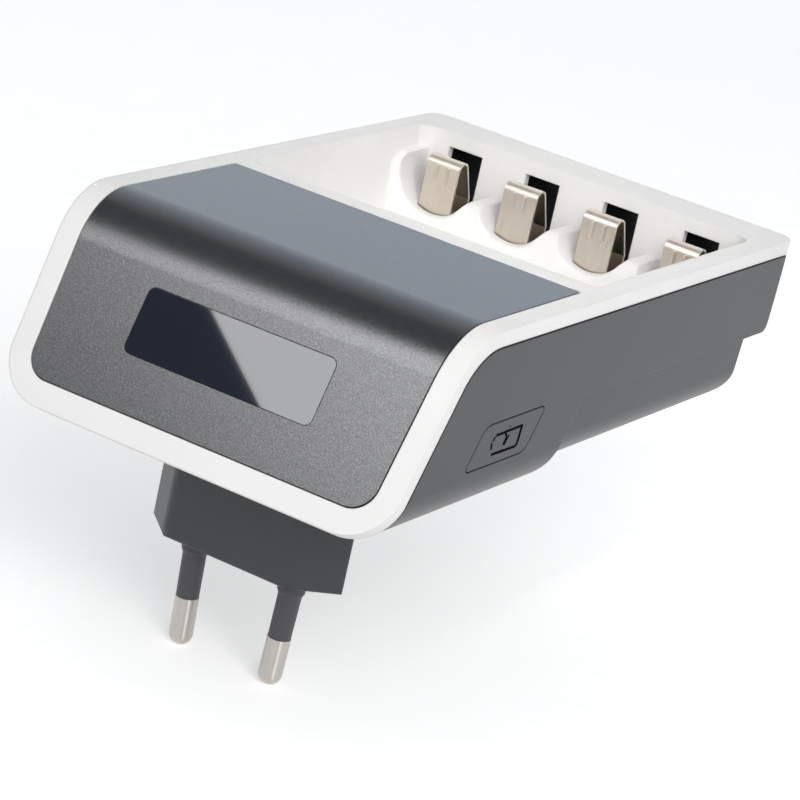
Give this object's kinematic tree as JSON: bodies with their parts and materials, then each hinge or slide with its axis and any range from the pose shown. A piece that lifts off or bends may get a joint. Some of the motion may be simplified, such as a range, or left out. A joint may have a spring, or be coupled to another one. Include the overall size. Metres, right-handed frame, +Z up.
{
  "type": "battery charger",
  "caption": "Plug-in charger for AA cells with a bent display cover, a white cell tray and a fixed round-pin mains plug.",
  "frame": {"origin": "middle of the plug's flat face, between the two pins", "axes": "+Z up, away from the pins; +Y from the display end to the far end of the cell tray; +X to the side with the button"},
  "size_m": [0.076, 0.1295, 0.072],
  "materials": {
    "white_plastic": "fine satin",
    "cover_plastic": "fine spark texture",
    "window_plastic": "polished, dark tint",
    "lcd_glass": "polished",
    "board_laminate": "satin lacquer",
    "cable_film": "smooth film",
    "housing_plastic": "fine spark texture",
    "plug_plastic": "fine satin",
    "sleeve_plastic": "satin",
    "nickel": "bright nickel plate",
    "brass_strip": "satin",
    "black_plastic": "matt",
    "switch_can": "satin",
    "ferrite": "matt",
    "coil_tape": "smooth film",
    "capacitor_skin": "smooth film",
    "fuse_case": "satin",
    "screw_steel": "zinc plate"
  },
  "bodies": {
    "charger": {"top_frame": "white_plastic", "display_cover": "cover_plastic", "display_window": "window_plastic", "lcd_panel": "lcd_glass", "lcd_holder": "white_plastic", "display_board": "board_laminate", "display_ribbon": "cable_film", "lower_housing": "housing_plastic", "plug_block": "plug_plastic", "pin_left": "nickel", "pin_right": "nickel", "sleeve_left": "sleeve_plastic", "sleeve_right": "sleeve_plastic", "pin_terminals": "brass_strip", "button_switch": "switch_can", "main_board": "board_laminate", "transformer_core": "ferrite", "transformer_coil": "coil_tape", "input_capacitor": "capacitor_skin", "output_capacitors": "capacitor_skin", "rectifier": "black_plastic", "fuse": "fuse_case", "controller_chip": "black_plastic", "charge_transistors": "black_plastic", "positive_contact_1": "nickel", "positive_contact_2": "nickel", "positive_contact_3": "nickel", "positive_contact_4": "nickel", "housing_screws": "screw_steel", "board_screws": "screw_steel"},
    "button": {"side_button": "housing_plastic", "switch_plunger": "black_plastic"},
    "contact_1": {"negative_contact_1": "nickel"},
    "contact_2": {"negative_contact_2": "nickel"},
    "contact_3": {"negative_contact_3": "nickel"},
    "contact_4": {"negative_contact_4": "nickel"}
  },
  "joints": [
    {"name": "button_press", "type": "slide", "parent": "charger", "child": "button", "axis": [-1, 0, 0], "range_m": [0, 0.0006], "stiffness_N_per_m": 2000, "springref_m": -0.0004},
    {"name": "contact_1_flex", "type": "hinge", "parent": "charger", "child": "contact_1", "pos_m": [-0.02475, 0.0916, 0.0359], "axis": [-1, 0, 0], "range_deg": [0, 12], "stiffness_Nm_per_rad": 0.15},
    {"name": "contact_2_flex", "type": "hinge", "parent": "charger", "child": "contact_2", "pos_m": [-0.00825, 0.0916, 0.0359], "axis": [-1, 0, 0], "range_deg": [0, 12], "stiffness_Nm_per_rad": 0.15},
    {"name": "contact_3_flex", "type": "hinge", "parent": "charger", "child": "contact_3", "pos_m": [0.00825, 0.0916, 0.0359], "axis": [-1, 0, 0], "range_deg": [0, 12], "stiffness_Nm_per_rad": 0.15},
    {"name": "contact_4_flex", "type": "hinge", "parent": "charger", "child": "contact_4", "pos_m": [0.02475, 0.0916, 0.0359], "axis": [-1, 0, 0], "range_deg": [0, 12], "stiffness_Nm_per_rad": 0.15}
  ]
}
